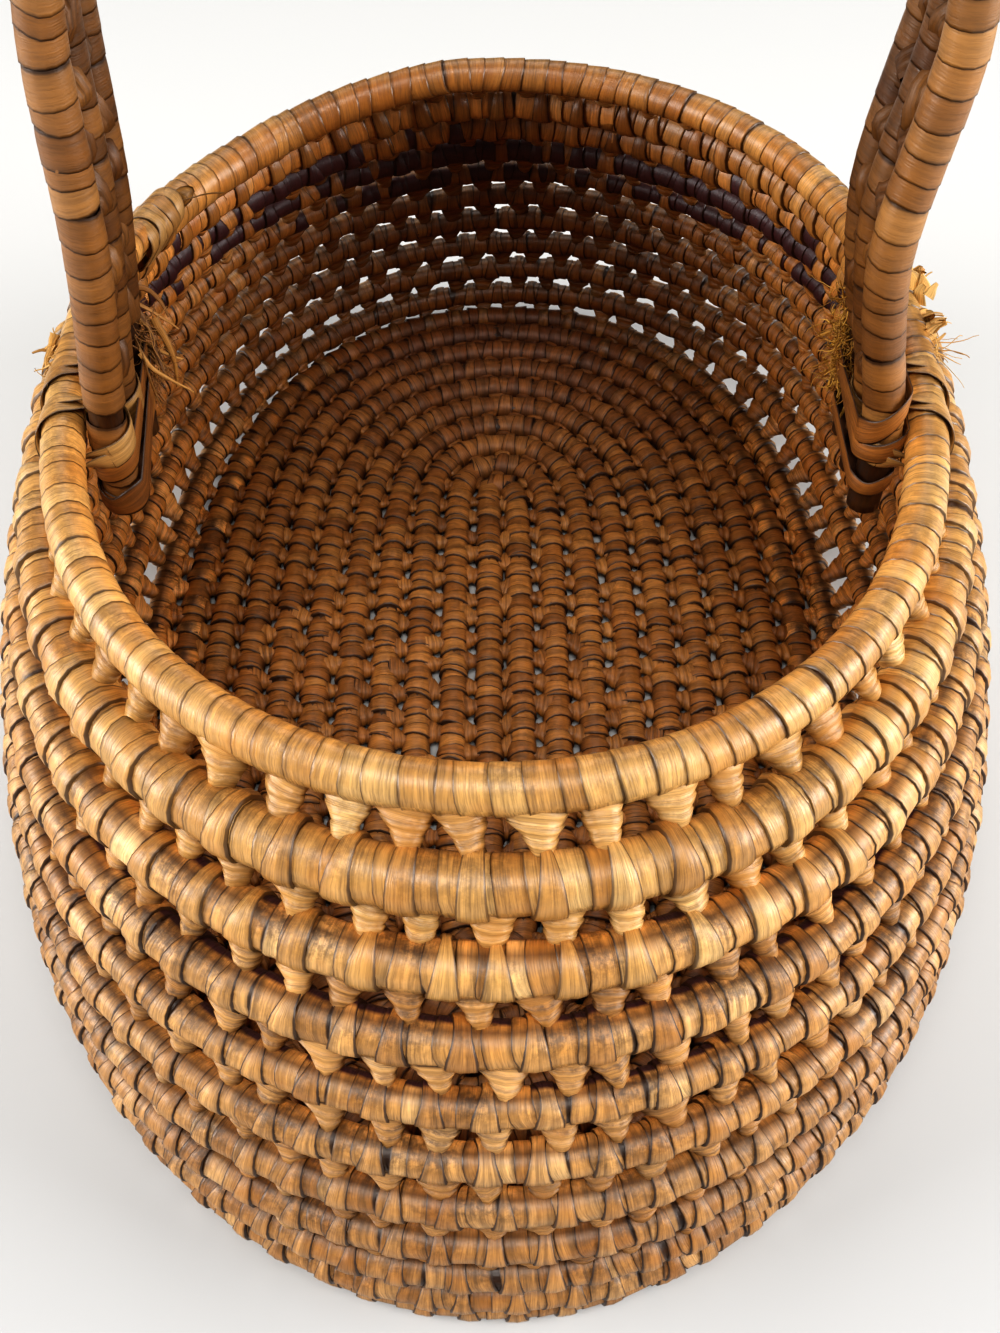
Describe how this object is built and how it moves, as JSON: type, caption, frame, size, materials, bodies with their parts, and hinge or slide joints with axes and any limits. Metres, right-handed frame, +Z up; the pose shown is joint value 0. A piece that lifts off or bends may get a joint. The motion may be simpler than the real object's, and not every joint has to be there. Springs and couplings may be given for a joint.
{
  "type": "coiled basket",
  "caption": "Oval coiled basket of wrapped leaf strips with open stitched courses, a drawn-in rim and a stiff arched handle of wrapped rods.",
  "frame": {"origin": "middle of the basket's footprint, on the surface that it stands on", "axes": "+Z up, +Y along the basket's length, +X across it along the handle's span"},
  "size_m": [0.2726, 0.3932, 0.3224],
  "materials": {
    "coil_strip": "dry wrapped leaf strip, satin",
    "rim_strip": "worn wrapped leaf strip, satin",
    "dyed_strip": "leaf strip dyed dark on the inner side",
    "rod_core": "bare fibre bundle, matte",
    "handle_strip": "dry wrapped leaf strip, satin",
    "tuft_fibre": "frayed leaf fibre"
  },
  "bodies": {
    "root": {"floor_coil": "coil_strip", "lower_wall_coil": "coil_strip", "dyed_band_coil": "dyed_strip", "upper_wall_coil": "coil_strip", "rim_coil": "rim_strip", "rim_splice_band": "rim_strip", "front_rod_core": "rod_core", "middle_rod_core": "rod_core", "back_rod_core": "rod_core", "front_rod_wrap": "handle_strip", "middle_rod_wrap": "handle_strip", "back_rod_wrap": "handle_strip", "left_front_foot_wrap": "handle_strip", "front_rod_stitching": "handle_strip", "back_rod_stitching": "handle_strip", "left_front_lashing": "handle_strip", "left_middle_lashing": "handle_strip", "right_front_lashing": "handle_strip", "right_middle_lashing": "handle_strip", "left_foot_strap": "handle_strip", "right_foot_strap": "handle_strip", "left_inner_tuft": "tuft_fibre", "right_inner_tuft": "tuft_fibre", "left_outer_tuft": "tuft_fibre", "right_outer_tuft": "tuft_fibre"}
  },
  "joints": []
}
